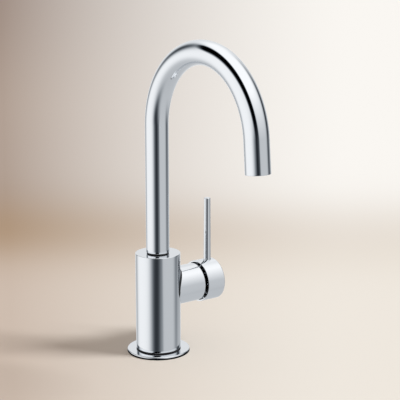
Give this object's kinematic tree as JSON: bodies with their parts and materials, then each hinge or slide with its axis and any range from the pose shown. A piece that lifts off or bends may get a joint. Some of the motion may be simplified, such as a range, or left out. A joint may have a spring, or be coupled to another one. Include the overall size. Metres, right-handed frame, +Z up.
{
  "type": "gooseneck bar faucet",
  "caption": "Single-lever deck faucet with a swivelling gooseneck spout, slim side lever, ceramic cartridge and a hollow threaded mounting shank.",
  "frame": {"origin": "on the worktop, under the body's axis, at the flange's underside", "axes": "+Z up along the riser, -Y towards the spout's outlet, +X towards the handle"},
  "size_m": [0.0959, 0.188, 0.3716],
  "materials": {
    "chrome": "polished chrome plating",
    "cast_brass": "machined brass",
    "stainless": "brushed stainless steel",
    "black_rubber": "moulded rubber",
    "black_plastic": "matt black acetal",
    "white_plastic": "moulded engineering plastic",
    "blue_plastic": "moulded engineering plastic",
    "grey_plastic": "moulded acetal",
    "ceramic": "lapped alumina ceramic"
  },
  "bodies": {
    "body": {"body_shell": "chrome", "base_flange": "chrome", "deck_gasket": "black_rubber", "mounting_shank": "cast_brass", "rubber_washer": "black_rubber", "steel_washer": "stainless", "mounting_nut": "cast_brass", "jack_screws": "stainless", "handle_sleeve": "chrome", "sleeve_gasket": "black_rubber", "dust_ring": "black_plastic", "cartridge_nut": "cast_brass", "cartridge_housing": "white_plastic", "cartridge_base": "white_plastic", "port_seals": "black_rubber", "fixed_disc": "ceramic", "spout_screw": "stainless"},
    "spout": {"spout_tube": "chrome", "spout_adaptor": "cast_brass", "upper_seal_ring": "black_rubber", "lower_seal_ring": "black_rubber", "glide_ring": "black_plastic", "outlet_nozzle": "chrome", "aerator_housing": "grey_plastic", "aerator_screen": "stainless", "flow_regulator": "blue_plastic", "aerator_washer": "black_rubber"},
    "stem_guide": {"stem_guide": "white_plastic", "pivot_pin": "stainless", "guide_seal_ring": "black_rubber"},
    "handle": {"lever_stem": "stainless", "knob": "chrome", "lever_rod": "chrome", "lever_stud": "stainless", "knob_screw": "stainless"},
    "disc": {"disc_carrier": "grey_plastic", "moving_disc": "ceramic"}
  },
  "joints": [
    {"name": "spout_swivel", "type": "hinge", "parent": "body", "child": "spout", "pos_m": [0, 0, 0.0975], "axis": [0, 0, 1], "continuous": true},
    {"name": "temperature_turn", "type": "hinge", "parent": "body", "child": "stem_guide", "pos_m": [0.03401, 0, 0.061], "axis": [1, 0, 0], "range_deg": [-45, 45]},
    {"name": "flow_tilt", "type": "hinge", "parent": "stem_guide", "child": "handle", "pos_m": [0.03401, 0, 0.061], "axis": [0, 1, 0], "range_deg": [0, 22.7]},
    {"name": "disc_slide", "type": "slide", "parent": "stem_guide", "child": "disc", "axis": [0, 0, 1], "range_m": [0, 0.0033]}
  ],
  "couplings": [
    {"joint": "disc_slide", "follows": "flow_tilt", "m_per_rad": 0.0083}
  ]
}
